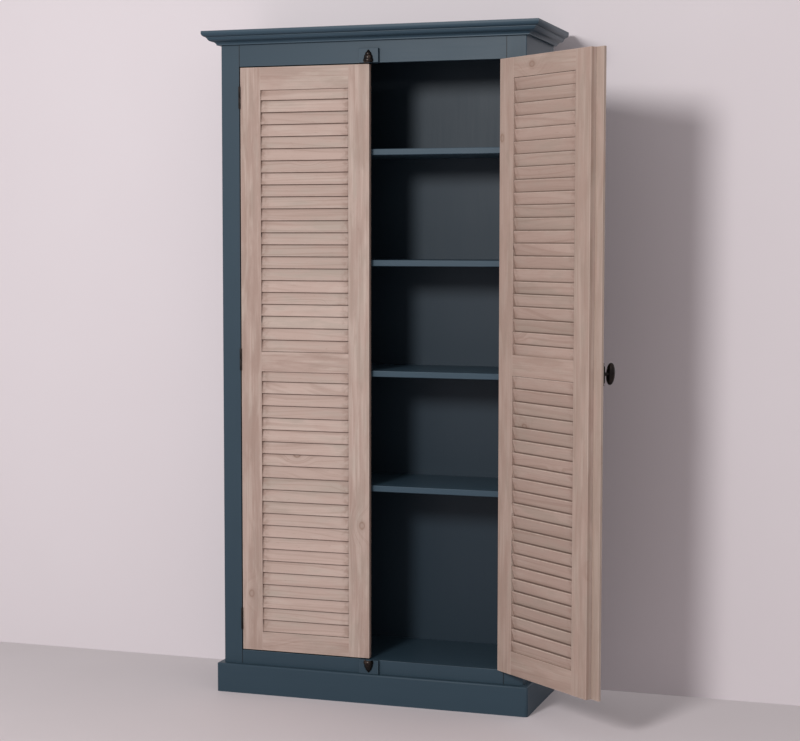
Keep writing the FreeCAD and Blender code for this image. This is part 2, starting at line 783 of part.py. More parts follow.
def knob():
    """The cast oval knob on its waisted neck and round rose, bored for the spindle."""
    upper = [(knob_radius * out, knob_height / 2 * up) for out, up in reversed(knob_bands)]
    upper.append((0, knob_height / 2))
    outline = [(r, -z) for r, z in reversed(upper)] + upper
    oval = polygon(outline, lambda r, z: point(r, 0, z)).revolve(point(0, 0, 0), point(0, 0, 1), 360)
    oval.rotate(point(0, 0, 0), point(0, 1, 0), -knob_lean)
    oval.translate(point(0, knob_y, knob_level))
    rose_back = case_front - slide_gap
    outline = [(0, rose_back), (rose_radius, rose_back), (rose_radius, rose_back - rose_rim),
               (neck_radius, rose_back - rose_length), (neck_flare, spindle_end), (0, spindle_end)]
    neck_face = polygon(outline, lambda r, y: point(r, y, knob_level))
    neck = neck_face.revolve(point(0, 0, knob_level), point(0, 1, 0), 360)
    return oval.fuse(neck).cut(spindle(spindle_radius, strip_front, spindle_end))


# ---- Inside bolt on the left door ----
def stapled_plate(wall_y, z_range, staple_lows, length, way):
    """A plate on a face at wall_y, with staples behind it whose walls stand outside a way for the bolt."""
    half = bolt_plate_width / 2
    outer = way + staple_wall
    shapes = [block((bolt_x - half, bolt_x + half), (wall_y, wall_y + bolt_plate_thickness), z_range)]
    for low in staple_lows:
        loop = block((bolt_x - outer, bolt_x + outer), (wall_y, bolt_y + outer), (low, low + length))
        for x in (bolt_x - outer, bolt_x + outer):
            loop = softened(loop, staple_round, upright_at(x, bolt_y + outer))
        shapes.append(loop)
    return united(shapes)


def bolt_plate():
    """The plate inside the left door, with a staple at each end bored for the bolt."""
    low, high = bolt_plate_bottom, bolt_plate_top
    plate = stapled_plate(door_back, (low, high), (low, high - staple_length), staple_length, bolt_way)
    return plate.cut(round_bar(bolt_way, point(bolt_x, bolt_y, low), point(bolt_x, bolt_y, high)))


def bolt_strike():
    """The staple behind the top rail that the bolt slides up into, square inside and open to the rail."""
    low = top_rail_bottom + strike_lift
    z_range = (low, low + strike_height)
    way = bolt_radius + strike_clearance
    staple = stapled_plate(room_front, z_range, (low,), strike_height, way)
    return staple.cut(block((bolt_x - way, bolt_x + way), (room_front, bolt_y + way), z_range))


def inside_bolt():
    """The round bolt with its side grip, drawn back inside the door."""
    ends = [point(bolt_x, bolt_y, level) for level in (bolt_plate_bottom, bolt_plate_top)]
    grip_level = bolt_plate_top - staple_length - bolt_throw - 2 * bolt_grip_radius
    grip_start = point(bolt_x, bolt_y, grip_level)
    grip = round_bar(bolt_grip_radius, grip_start, grip_start + point(0, bolt_grip_length, 0))
    return united([round_bar(bolt_radius, *ends), grip])


# ---- The whole cupboard ----
def carcass_pieces():
    """Boards, face frame, mouldings, shelves and what is fixed to them."""
    cornice = cornice_outline()
    plinth = plinth_outline()
    pieces = {
        "left_side_panel": side_panel(-1),
        "right_side_panel": side_panel(1),
        "floor_board": housed_board(bottom_rail_top - board_thickness),
        "top_board": housed_board(room_top),
        "back_panel": back_panel(),
        "left_frame_stile": frame_stile(-1),
        "right_frame_stile": frame_stile(1),
        "top_frame_rail": frame_rail(top_rail_bottom, carcass_top),
        "bottom_frame_rail": frame_rail(bottom_rail_bottom, bottom_rail_top),
        "cornice_front": front_moulding(cornice),
        "cornice_left": side_moulding(-1, cornice),
        "cornice_right": side_moulding(1, cornice),
        "plinth_front": front_moulding(plinth).cut([corner_waste(side) for side in (-1, 1)]),
        "plinth_left": side_moulding(-1, plinth).cut(corner_waste(-1)),
        "plinth_right": side_moulding(1, plinth).cut(corner_waste(1)),
        "shelf_battens": shelf_battens(),
        "top_keeper_block": keeper_block(top_rail_bottom),
        "bottom_keeper_block": keeper_block(plinth_height),
        "keepers": keepers(),
        "bolt_strike": bolt_strike(),
    }
    for number, level in enumerate(shelf_levels, 1):
        pieces[f"shelf_{number}"] = shelf(level)
    for name, side in (("left", -1), ("right", 1)):
        pieces[f"{name}_frame_leaves"] = hinge_leaves(side, 1)
        pieces[f"{name}_hinge_pins"] = hinge_pins(side)
    return pieces


def door_pieces(name, side):
    """Stiles, rails, slats and hinge leaves of one door, shut."""
    pieces = {
        f"{name}_hinge_stile": door_stile(side, "hinge"),
        f"{name}_meeting_stile": door_stile(side, "meeting"),
        f"{name}_upper_slats": slats(side, "upper"),
        f"{name}_lower_slats": slats(side, "lower"),
        f"{name}_door_leaves": hinge_leaves(side, -1),
    }
    for rail in ("top", "mid", "bottom"):
        pieces[f"{name}_{rail}_rail"] = door_rail(side, rail)
    return pieces


def strip_pieces():
    """The meeting strip and the surface bolt, with the right door shut."""
    return {
        "meeting_strip": meeting_strip(),
        "case_plate": case_plate(),
        "bolt_case": bolt_case(),
        "rod_guides": rod_guides(),
        "knob": knob(),
        "pinion": pinion(),
        "upper_rod": rod(1),
        "lower_rod": rod(-1),
    }


def swung_open(shape):
    """A piece of the right door turned with it about the hinge pins."""
    turned = shape.copy()
    turned.rotate(point(hinge_x, hinge_y, 0), point(0, 0, 1), right_door_open)
    return turned


def cupboard():
    """Every node of the cupboard by name."""
    nodes = carcass_pieces() | door_pieces("left", -1)
    nodes |= {"bolt_plate": bolt_plate(), "inside_bolt": inside_bolt()}
    right_door = door_pieces("right", 1) | strip_pieces()
    return nodes | {name: swung_open(shape) for name, shape in right_door.items()}


os.makedirs("parts", exist_ok=True)
for node, shape in cupboard().items():
    shape.exportStep(f"parts/{node}.step")
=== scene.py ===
import json
import math

import bpy
from mathutils import Matrix, Vector


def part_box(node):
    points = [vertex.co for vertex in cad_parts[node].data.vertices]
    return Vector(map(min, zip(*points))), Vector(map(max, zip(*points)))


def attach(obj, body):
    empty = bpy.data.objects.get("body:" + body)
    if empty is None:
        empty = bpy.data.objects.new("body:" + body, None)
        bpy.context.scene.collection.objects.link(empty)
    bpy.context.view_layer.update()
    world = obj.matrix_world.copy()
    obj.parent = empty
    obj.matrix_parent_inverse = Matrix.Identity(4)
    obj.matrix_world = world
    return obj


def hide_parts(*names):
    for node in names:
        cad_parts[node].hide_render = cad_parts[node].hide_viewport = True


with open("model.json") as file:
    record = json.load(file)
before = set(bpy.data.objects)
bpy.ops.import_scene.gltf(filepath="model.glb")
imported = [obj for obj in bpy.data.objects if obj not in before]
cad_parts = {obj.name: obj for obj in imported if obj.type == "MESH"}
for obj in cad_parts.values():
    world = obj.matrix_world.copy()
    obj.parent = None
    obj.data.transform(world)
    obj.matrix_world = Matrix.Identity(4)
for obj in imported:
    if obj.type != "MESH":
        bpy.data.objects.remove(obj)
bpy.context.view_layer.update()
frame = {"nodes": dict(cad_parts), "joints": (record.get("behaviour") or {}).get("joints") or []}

nodes = frame["nodes"]
joints = {joint["name"]: joint for joint in frame["joints"]}


# ---- Camera ----
# A long lens at eye height, a little to the right of the cupboard and turned to look past its
# middle, so that the open right door is seen on its inner face.
camera_data = bpy.data.cameras.new("camera")
camera_data.sensor_width = 36
camera_data.lens = 81.07
camera = bpy.data.objects.new("camera", camera_data)
camera.location = (1.855, -5.3074, 1.467)
camera.rotation_euler = (math.radians(90 - 4.166), math.radians(-0.055), math.radians(18.272))
bpy.context.scene.collection.objects.link(camera)
bpy.context.scene.camera = camera


# ---- Studio: floor, wall and lamp ----
# A pale matt floor and a pale wall close behind the cupboard, both faded out towards their edges.
# One soft lamp stands far out to the front, above eye height and a little to the left, and the
# background gives the rest of the light.
def linear(red, green, blue):
    """A colour written as it looks on a screen, 0 to 255, as the shader wants it."""
    def one(value):
        value /= 255
        return value / 12.92 if value <= 0.04045 else ((value + 0.055) / 1.055) ** 2.4
    return (one(red), one(green), one(blue), 1)


class Value:
    """A shader socket that can be used in sums: each sum adds its Math node."""

    def __init__(self, shader, socket):
        self.shader = shader
        self.socket = socket

    def math(self, operation, *others, first=None):
        terms = [self if first is None else first, *others]
        return self.shader.node("ShaderNodeMath", {"operation": operation}, dict(enumerate(terms)))

    def __add__(self, other):
        return self.math("ADD", other)

    __radd__ = __add__

    def __mul__(self, other):
        return self.math("MULTIPLY", other)

    __rmul__ = __mul__

    def __sub__(self, other):
        return self.math("SUBTRACT", other)

    def __rsub__(self, other):
        return self.math("SUBTRACT", self, first=other)

    def __truediv__(self, other):
        return self.math("DIVIDE", other)

    def __abs__(self):
        return self.math("ABSOLUTE")

    def least(self, other):
        return self.math("MINIMUM", other)

    def most(self, other):
        return self.math("MAXIMUM", other)

    def floor(self):
        return self.math("FLOOR")

    def rise(self, start, end):
        """0 below start, 1 above end and smooth between; the other way round if end is lower."""
        low, high, first, last = (start, end, 0.0, 1.0) if start < end else (end, start, 1.0, 0.0)
        return self.shader.node("ShaderNodeMapRange", {"interpolation_type": "SMOOTHSTEP"},
                                {0: self, 1: low, 2: high, 3: first, 4: last})


class Shader:
    """A material and its nodes, ending in one Principled BSDF."""

    def __init__(self, name, roughness=0.5, metallic=0.0, specular=0.5):
        self.material = bpy.data.materials.new(name)
        self.material.use_nodes = True
        self.tree = self.material.node_tree
        self.surface = self.tree.nodes["Principled BSDF"]
        self.surface.inputs["Roughness"].default_value = roughness
        self.surface.inputs["Metallic"].default_value = metallic
        self.surface.inputs["Specular IOR Level"].default_value = specular

    def feed(self, place, term):
        if isinstance(term, Value):
            self.tree.links.new(term.socket, place)
        else:
            place.default_value = term

    def node(self, kind, settings, inputs, output=0):
        """A node of any kind: its settings first, then the values or links of its sockets."""
        node = self.tree.nodes.new(kind)
        for name, value in settings.items():
            setattr(node, name, value)
        for place, term in inputs.items():
            self.feed(node.inputs[place], term)
        return Value(self, node.outputs[output])

    def position(self):
        return self.node("ShaderNodeTexCoord", {}, {}, "Object")

    def axes(self, vector):
        split = self.tree.nodes.new("ShaderNodeSeparateXYZ")
        self.feed(split.inputs[0], vector)
        return [Value(self, place) for place in split.outputs]

    def vector(self, x, y, z):
        return self.node("ShaderNodeCombineXYZ", {}, {0: x, 1: y, 2: z})

    def noise(self, vector, scale, detail=3.0, roughness=0.55):
        return self.node("ShaderNodeTexNoise", {},
                         {"Vector": vector, "Scale": scale, "Detail": detail, "Roughness": roughness})

    def chance(self, number):
        """A number from 0 to 1 that is another one for each whole number."""
        return self.node("ShaderNodeTexWhiteNoise", {"noise_dimensions": "1D"}, {"W": number})

    def mix(self, factor, first, second):
        """One colour turned into another."""
        return self.node("ShaderNodeMix", {"data_type": "RGBA"}, {"Factor": factor, 6: first, 7: second}, 2)

    def fade(self, factor):
        """Clears the surface away where the factor is 0."""
        clear = self.node("ShaderNodeBsdfTransparent", {}, {})
        lit = Value(self, self.surface.outputs[0])
        both = self.node("ShaderNodeMixShader", {}, {0: factor, 1: clear, 2: lit})
        self.feed(self.tree.nodes["Material Output"].inputs["Surface"], both)

    def finish(self, colour=None, roughness=None, height=None, depth=0.001):
        if colour is not None:
            self.feed(self.surface.inputs["Base Color"], colour)
        if roughness is not None:
            self.feed(self.surface.inputs["Roughness"], roughness)
        if height is not None:
            normal = self.node("ShaderNodeBump", {}, {"Strength": 1.0, "Distance": depth, "Height": height})
            self.feed(self.surface.inputs["Normal"], normal)
        return self.material


def stage_plane(name, size, place, turn, light_colour, dark_colour):
    """A plane of the studio with a faintly clouded matt paint; gives its shader too."""
    bpy.ops.object.select_all(action="DESELECT")
    bpy.ops.mesh.primitive_plane_add(size=size, location=place, rotation=turn)
    plane = bpy.context.object
    plane.name = name
    shader = Shader(name, specular=0.15)
    cloud = shader.noise(shader.position(), 1.2)
    plane.data.materials.append(shader.finish(
        shader.mix(cloud, light_colour, dark_colour), 0.7 + 0.1 * cloud))
    return shader


wall_colour = linear(226, 219, 223)
floor_size = 16
floor_fade_start = 2.5           # distance from the cupboard at which the floor starts to fade
floor_fade_end = 7.0
floor = stage_plane("studio_floor", floor_size, (0, 0, 0), (0, 0, 0),
                    linear(232, 223, 226), linear(224, 214, 217))
from_middle = floor.node("ShaderNodeVectorMath", {"operation": "LENGTH"}, {0: floor.position()}, "Value")
by_camera = floor.node("ShaderNodeLightPath", {}, {}, "Is Camera Ray")
floor.fade(1 - by_camera * from_middle.rise(floor_fade_start, floor_fade_end))

wall_size = 4.6
wall_fade = 0.5                  # width of the soft edge at its top and sides
wall_place = (0, 0.40, wall_size / 2)
wall = stage_plane("studio_wall", wall_size, wall_place, (math.radians(90), 0, 0),
                   wall_colour, linear(221, 213, 217))
wall_x, wall_y, _ = wall.axes(wall.position())
from_edge = wall_size / 2 - abs(wall_x).most(wall_y)
by_camera = wall.node("ShaderNodeLightPath", {}, {}, "Is Camera Ray")
from_behind = wall.node("ShaderNodeNewGeometry", {}, {}, "Backfacing")
wall.fade(by_camera * (1 - from_behind) * from_edge.rise(0.0, wall_fade))

ambient_strength = 0.42
world = bpy.data.worlds.new("studio")
bpy.context.scene.world = world
world.use_nodes = True
sky = world.node_tree.nodes
sky_links = world.node_tree.links
ambient = sky["Background"]
ambient.inputs["Color"].default_value = linear(255, 252, 252)
ambient.inputs["Strength"].default_value = ambient_strength
backdrop = sky.new("ShaderNodeBackground")
backdrop.inputs["Color"].default_value = wall_colour
backdrop.inputs["Strength"].default_value = 1
paths = sky.new("ShaderNodeLightPath")
seen = paths.outputs["Is Camera Ray"]
for ray in ("Is Glossy Ray", "Is Transmission Ray"):
    either = sky.new("ShaderNodeMath")
    either.operation = "MAXIMUM"
    sky_links.new(seen, either.inputs[0])
    sky_links.new(paths.outputs[ray], either.inputs[1])
    seen = either.outputs[0]
choice = sky.new("ShaderNodeMixShader")
sky_links.new(seen, choice.inputs[0])
sky_links.new(ambient.outputs[0], choice.inputs[1])
sky_links.new(backdrop.outputs[0], choice.inputs[2])
sky_links.new(choice.outputs[0], sky["World Output"].inputs[0])

lamp_place = Vector((-0.66, -5.27, 2.92))
lamp_aim = Vector((0.0, 0.2, 1.1))
lamp = bpy.data.lights.new("soft_lamp", "AREA")
lamp.shape = "DISK"
lamp.size = 1.1
lamp.energy = 188
lamp.color = (1.0, 0.99, 0.985)
lamp_stand = bpy.data.objects.new("soft_lamp", lamp)
lamp_stand.location = lamp_place
lamp_stand.rotation_euler = (lamp_aim - lamp_place).to_track_quat("-Z", "Y").to_euler()
bpy.context.scene.collection.objects.link(lamp_stand)
bpy.context.scene.view_settings.view_transform = "Standard"


# ---- Carcass boards ----
# Boards brushed a satin petrol blue with some grey: two sides rebated for the back, the floor and
# the top housed between them. Their arrises are eased by hand and slightly rubbed.
paint_main = linear(48, 67, 79)
paint_deep = linear(42, 60, 72)
paint_worn = linear(86, 100, 110)
paint_joint = linear(18, 27, 34)
stroke_across = 34.0             # how fine the brush strokes are across the grain
stroke_along = 1.6               # and along it
rubbed_width = 0.003
joint_outside = 0.0021           # half width of a joint's dark line, with its soft edge
joint_inside = 0.0009            # and without it


def ease(node, width):
    """Joins a node's loose triangles and eases its arrises with modifiers."""
    piece = nodes[node]
    weld = piece.modifiers.new("joined", "WELD")
    weld.merge_threshold = 0.00001
    flat = piece.modifiers.new("flat_faces", "DECIMATE")
    flat.decimate_type = "DISSOLVE"
    flat.angle_limit = math.radians(0.5)
    arris = piece.modifiers.new("arris", "BEVEL")
    arris.width = width
    arris.segments = 2
    arris.limit_method = "ANGLE"
    arris.angle_limit = math.radians(40)


def dress(node, material):
    nodes[node].data.materials.clear()
    nodes[node].data.materials.append(material)


def depths(shader, place, corners):
    """How deep a place lies inside an upright box, counted from its faces across each axis."""
    low, high = corners
    return [(high[axis] - low[axis]) / 2 - abs(value - (low[axis] + high[axis]) / 2)
            for axis, value in enumerate(shader.axes(place))]


def on_edges(shader, place, corners, width):
    """1 on the edges of an upright box and 0 further inside its faces than width."""
    a, b, c = depths(shader, place, corners)
    return a.least(b).most(a.most(b).least(c)).rise(width, 0.0)


def paint(node, grain, main=paint_main, deep=paint_deep, joint_x=None):
    """Satin paint on one board, brushed along its grain: 0 for X, 1 for Y, 2 for Z. A joint, at
    joint_x on both sides, shows as a dark line."""
    shader = Shader("paint " + node, specular=0.24)
    place = shader.position()
    stretch = [stroke_across, stroke_across, stroke_across]
    stretch[grain] = stroke_along
    along = shader.node("ShaderNodeMapping", {}, {"Vector": place, "Scale": stretch})
    strokes = shader.noise(along, 3.0, 4.0)
    cloud = shader.noise(place, 3.0, 2.0)
    pores = shader.noise(along, 22.0, 2.0)
    colour = shader.mix(0.6 * cloud + 0.4 * strokes, deep, main)
    patches = shader.noise(place, 9.0, 4.0).rise(0.42, 0.66)
    rubbing = on_edges(shader, place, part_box(node), rubbed_width)
    colour = shader.mix(rubbing * (0.12 + 0.38 * patches), colour, paint_worn)
    if joint_x:
        across = shader.axes(place)[0]
        line = abs(abs(across) - joint_x).rise(joint_outside, joint_inside)
        colour = shader.mix(line * 0.9, colour, paint_joint)
    roughness = 0.38 + 0.1 * cloud + 0.06 * strokes
    return shader.finish(colour, roughness, 0.6 * strokes + 0.4 * pores, 0.0002)


def painted(group, grain, width=0.0008, joint_x=None, main=paint_main, deep=paint_deep):
    """Paints a group of boards and eases their arrises by width."""
    for node in group:
        dress(node, paint(node, grain, main, deep, joint_x))
        ease(node, width)


painted(("left_side_panel", "right_side_panel"), 2)
painted(("floor_board", "top_board"), 0)

# The back is a thin sheet in the rebates. Its paint is darker than the carcass's, as painted shade for the
# inside of the cupboard.
dress("back_panel", paint("back_panel", 2, linear(37, 52, 63), linear(32, 46, 57)))
ease("back_panel", 0.0004)


# ---- Shelves ----
# Four loose boards, each resting on a pair of battens that are screwed to the sides. They have the
# carcass paint made slightly paler, as painted light.
paint_lit_pale = linear(54, 74, 87)
paint_lit_pale_deep = linear(48, 67, 80)
painted(("shelf_1", "shelf_2", "shelf_3", "shelf_4"), 0, main=paint_lit_pale, deep=paint_lit_pale_deep)
painted(("shelf_battens",), 1)


# ---- Face frame, cornice and plinth ----
# Stiles and tenoned rails glued round the opening, a run moulding mitred round the top, and plinth
# boards mitred round the foot. The joints show as fine lines, and the moulding has the paler paint,
# painted light that brightens its shaded hollows.
frame_joint_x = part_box("right_frame_stile")[0].x
sharp_arris = 0.0005             # on mitred work, so that the mitres close
painted(("left_frame_stile", "right_frame_stile"), 2, width=0.001, joint_x=frame_joint_x)
painted(("top_frame_rail", "bottom_frame_rail"), 0, width=0.0006, joint_x=frame_joint_x)
# the moulding in the paler paint: painted light
painted(("cornice_front",), 0, sharp_arris, main=paint_lit_pale, deep=paint_lit_pale_deep)
painted(("cornice_left", "cornice_right"), 1, sharp_arris, main=paint_lit_pale, deep=paint_lit_pale_deep)
painted(("plinth_front",), 0, sharp_arris)
painted(("plinth_left", "plinth_right"), 1, sharp_arris)
painted(("top_keeper_block", "bottom_keeper_block"), 0, width=0.0006)


# ---- Hinges ----
# Lift-off hinges of black iron, three to a door: two leaves let into the edges and a loose pin.
# Each leaf is held by three countersunk screws, flush with it.
iron_black = linear(32, 29, 28)
iron_brown = linear(72, 60, 52)
first_slot = 20                  # how far a group's first slot is turned, in degrees
slot_step = 47                   # and each next one more, so that no two line up


def iron(name, brown=0.35, roughness=0.38):
    """Black waxed iron, worn brown in patches; brown is how far the patches have worn."""
    shader = Shader("iron " + name, metallic=0.85)
    place = shader.position()
    cloud = shader.noise(place, 70.0, 4.0)
    pits = shader.noise(place, 900.0, 3.0)
    colour = shader.mix(cloud.rise(0.42, 0.72) * brown, iron_black, iron_brown)
    return shader.finish(colour, roughness + 0.16 * cloud, 0.3 * cloud + 0.7 * pits, 0.0001)


def plain_iron(group):
    for node in group:
        dress(node, iron(node))
        ease(node, 0.0003)


def screw_head(radius, height, slot_width):
    """One domed head on the XY plane, with its driver slot cut across it."""
    bpy.ops.object.select_all(action="DESELECT")
    bpy.ops.mesh.primitive_uv_sphere_add(segments=20, ring_count=12, radius=radius)
    head = bpy.context.object
    bpy.ops.object.mode_set(mode="EDIT")
    bpy.ops.mesh.bisect(plane_co=(0, 0, 0), plane_no=(0, 0, 1), use_fill=True, clear_inner=True)
    bpy.ops.mesh.select_all(action="SELECT")
    bpy.ops.transform.resize(value=(1, 1, height / radius), center_override=(0, 0, 0))
    bpy.ops.mesh.normals_make_consistent(inside=False)
    bpy.ops.object.mode_set(mode="OBJECT")
    bpy.ops.mesh.primitive_cube_add(size=1, location=(0, 0, height), scale=(slot_width, 3 * radius, height))
    cutter = bpy.context.object
    slot = head.modifiers.new("slot", "BOOLEAN")
    slot.operation = "DIFFERENCE"
    slot.object = cutter
    bpy.context.view_layer.objects.active = head
    bpy.ops.object.modifier_apply(modifier="slot")
    bpy.data.objects.remove(cutter)
    return head


def set_screws(name, head, spots, out, body, turn=None):
    """Copies of a head on the spots, facing out, joined as one piece that rides on a body."""
    facing = Vector(out).to_track_quat("Z", "Y").to_matrix().to_4x4()
    bpy.ops.object.select_all(action="DESELECT")
    for number, spot in enumerate(spots):
        copy = head.copy()
        copy.data = head.data.copy()
        bpy.context.scene.collection.objects.link(copy)
        slot_turn = Matrix.Rotation(math.radians(first_slot + slot_step * number), 4, "Z")
        copy.data.transform((turn or Matrix()) @ Matrix.Translation(spot) @ facing @ slot_turn)
        copy.select_set(True)
        bpy.context.view_layer.objects.active = copy
    bpy.ops.object.join()
    piece = bpy.context.object
    piece.name = name
    bpy.ops.object.shade_smooth_by_angle(angle=math.radians(35))
    piece.data.materials.append(iron(name, 0.6))
    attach(piece, body)


door_hinge = joints["right_door_hinge"]
door_angle = math.radians(door_hinge["range_deg"][0])
door_pivot = Vector(door_hinge["pos_m"])
door_shut = Matrix.Rotation(door_angle, 3, "Z")
door_shift = door_pivot - door_shut @ door_pivot
door_open = (Matrix.Translation(door_shift) @ door_shut.to_4x4()).inverted()
knob_place = door_shut @ Vector(joints["knob_turn"]["pos_m"]) + door_shift

plain_iron(("left_frame_leaves", "right_frame_leaves", "left_door_leaves", "right_door_leaves",
            "left_hinge_pins", "right_hinge_pins"))
pin_low, pin_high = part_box("left_hinge_pins")
pin_half = 0.036                 # half the length of a pin
leaf_gap = 0.00015               # face of a leaf from the middle of the gap between frame and door
leaf_middle_y = 0.0180
leaf_screw_step = 0.022
flush_head = screw_head(radius=0.0024, height=0.0001, slot_width=0.0006)
hinge_levels = (pin_low.z + pin_half, knob_place.z, pin_high.z - pin_half)
for name, side, turn in (("left", -1, None), ("right", 1, door_open)):
    for owner, outward, body, place in (("frame", 1, "cabinet", None), ("door", -1, name + "_door", turn)):
        face_x = side * (door_pivot.x + outward * leaf_gap)
        spots = [(face_x, leaf_middle_y, level + step * leaf_screw_step)
                 for level in hinge_levels for step in (-1, 0, 1)]
        set_screws(f"{name}_{owner}_leaf_screws", flush_head, spots, (-side * outward, 0, 0), body, place)
bpy.data.objects.remove(flush_head)


# ---- Door frames ----
# Brushed pine with a greyish brown wash, matt. Each door is two stiles with three tenoned rails, and
# the stiles are cut with a slanted pocket for the end of every slat. The grain runs along each piece.
pine_light = linear(192, 172, 162)
pine_main = linear(175, 157, 147)
pine_grey = linear(167, 155, 144)
pine_pink = linear(181, 156, 146)
pine_late = linear(149, 125, 114)
pine_knot = linear(124, 97, 82)
pine_worn = linear(202, 185, 174)
pine_inside_shade = linear(140, 114, 100)
# dark brown for painted shade in the pockets and laps, with some stain
pine_shade_and_stain = linear(84, 62, 51)


def shut_place(shader, on_right_door):
    """The place on the piece, with the right door turned shut so that its boards lie square."""
    if not on_right_door:
        return shader.position()
    return shader.node("ShaderNodeMapping", {}, {"Vector": shader.position(), "Location": door_shift,
                                                 "Rotation": (0, 0, door_angle)})


def shut_box(node, on_right_door):
    """The corners of a node's box with the right door shut."""
    if not on_right_door:
        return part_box(node)
    spots = [door_shut @ vertex.co + door_shift for vertex in nodes[node].data.vertices]
    low = Vector([min(spot[axis] for spot in spots) for axis in range(3)])
    high = Vector([max(spot[axis] for spot in spots) for axis in range(3)])
    return low, high


def pine_colour(shader, along, across, through, tone, hue):
    """Washed pine on places along, across and through the grain, with its roughness and height.
    tone and hue, 0 to 1, make one board lighter or darker, and greyer or pinker, than the next."""
    # small round knots, about one to two metres of board, with the grain drawn round them
    knot = {"voronoi_dimensions": "2D", "feature": "F1"}
    spots = {"Vector": shader.vector(along * 4.0, across * 5.5, 0.0), "Scale": 1.0}
    distance = shader.node("ShaderNodeTexVoronoi", knot, spots, "Distance")
    cell = shader.node("ShaderNodeTexVoronoi", knot, spots, "Color")
    rare = shader.axes(cell)[0].rise(0.85, 0.88)
    swerve = distance.rise(0.3, 0.0) * rare
    # growth rings as long streaks that wander, and here and there close in a pointed arch
    wander = shader.noise(shader.vector(along * 1.2, across * 7.0, through * 7.0), 1.0, 1.5)
    rings = shader.noise(shader.vector(along * 0.8, across * 80.0 + wander * 12.0 + swerve * 5.0,
                                       through * 40.0), 1.0, 3.0, 0.6)
    fine = shader.noise(shader.vector(along * 7.0, across * 520.0, through * 520.0), 1.0, 2.0)
    broad = shader.noise(shader.vector(along * 2.2, across * 16.0, through * 16.0), 1.0, 3.0)
    cloud = shader.noise(shader.vector(along * 7.0, across * 30.0, through * 30.0), 1.0, 3.0)
    late = rings.rise(0.48, 0.7)
    colour = shader.mix((0.75 * broad + 0.5 * tone - 0.12).rise(0.2, 0.8), pine_light, pine_main)
    colour = shader.mix((cloud + 0.5 * hue - 0.25).rise(0.42, 0.62) * 0.5, colour, pine_pink)
    colour = shader.mix((1.25 - cloud - 0.5 * hue).rise(0.52, 0.72) * 0.5, colour, pine_grey)
    flecks = shader.noise(shader.vector(along * 45.0, across * 420.0, through * 420.0), 1.0, 2.0)
    colour = shader.mix(late * 0.4, colour, pine_late)
    colour = shader.mix(fine.rise(0.5, 0.78) * 0.26, colour, pine_late)
    colour = shader.mix(flecks.rise(0.66, 0.76) * 0.3, colour, pine_knot)
    ring = distance.rise(0.06, 0.045) * distance.rise(0.02, 0.04)
    colour = shader.mix(distance.rise(0.11, 0.03) * rare * 0.3 + ring * rare * 0.4, colour, pine_knot)
    roughness = 0.62 + 0.14 * fine
    height = 0.55 * (1 - late) + 0.45 * fine
    return colour, roughness, height


inner_face_shade = 0.32                # painted shade: the inner faces of the doors are darkened


def board_seed(node):
    """A number of its own for each piece, so that no two show the same stretch of grain."""
    return 0.37 * sum(ord(letter) for letter in node)


def pine_board(node, grain, on_right_door, wash, hue=0.5):
    """A stile, a rail or the strip, its grain along X (0) or Z (2), darkened inside its pockets by painted
    shade with some stain.
    wash, 0 to 1, is how much of the brown is left on it."""
    shader = Shader("pine " + node, specular=0.25)
    place = shut_place(shader, on_right_door)
    x, y, z = shader.axes(place)
    seed = board_seed(node)
    across, along = (z, x) if grain == 0 else (x, z)
    colour, roughness, height = pine_colour(shader, along + 0.7 * seed, across + seed, y, 0.7, hue)
    uneven = shader.noise(shader.vector(along * 6.0 + seed, across * 30.0, y * 30.0), 1.0, 4.0)
    thick = uneven.rise(0.38, 0.62)
    streak = shader.noise(shader.vector(along * 3.0, across * 150.0 + seed, y * 150.0), 1.0, 3.0)
    colour = shader.mix((wash - 0.16 + 0.34 * thick).most(0.0), colour, pine_late)
    colour = shader.mix((1 - thick) * streak.rise(0.45, 0.65) * 0.35, colour, pine_worn)
    corners = shut_box(node, on_right_door)
    a, b, c = depths(shader, place, corners)
    middle_y = (corners[0].y + corners[1].y) / 2
    # painted shade on the inner face of the door
    colour = shader.mix(y.rise(middle_y - 0.001, middle_y + 0.001) * inner_face_shade, colour, pine_inside_shade)
    # painted shade, with some stain, inside the pockets
    colour = shader.mix(a.least(b).least(c).rise(0.0006, 0.004) * 0.8, colour, pine_shade_and_stain)
    colour = shader.mix(on_edges(shader, place, corners, 0.0025) * 0.3, colour, pine_worn)
    dress(node, shader.finish(colour, roughness, height, 0.0003))
    ease(node, 0.0008)


# each board with its grain, its hue and the wash left on it, on the left and on the right door
door_boards = (("hinge_stile", 2, 0.6, 0.36, 0.16), ("meeting_stile", 2, 0.4, 0.26, 0.06),
               ("top_rail", 0, 0.4, 0.2, 0.06), ("mid_rail", 0, 0.6, 0.26, 0.1),
               ("bottom_rail", 0, 0.5, 0.3, 0.16))
for board, grain, hue, left_wash, right_wash in door_boards:
    pine_board("left_" + board, grain, False, left_wash, hue)
    pine_board("right_" + board, grain, True, right_wash, hue)


# ---- Slats ----
# Twenty-two thin slats over and twenty-two under the middle rail of each door, slid into the
# slanted pockets. Each is cut from another board, and the wash has pooled a little at its ends, with
# painted shade where they run into the pockets.
slats_in_field = 22
slat_lean = math.radians(15.469)
slat_rise = 0.04334              # height of one leaning slat
slat_toe = 0.000467              # lower edge of the middle plane over the lowest point
slat_lead = 0.002732             # and behind the foremost point
slat_width = 0.044
slat_bite = 0.0065               # end of a slat inside its pocket


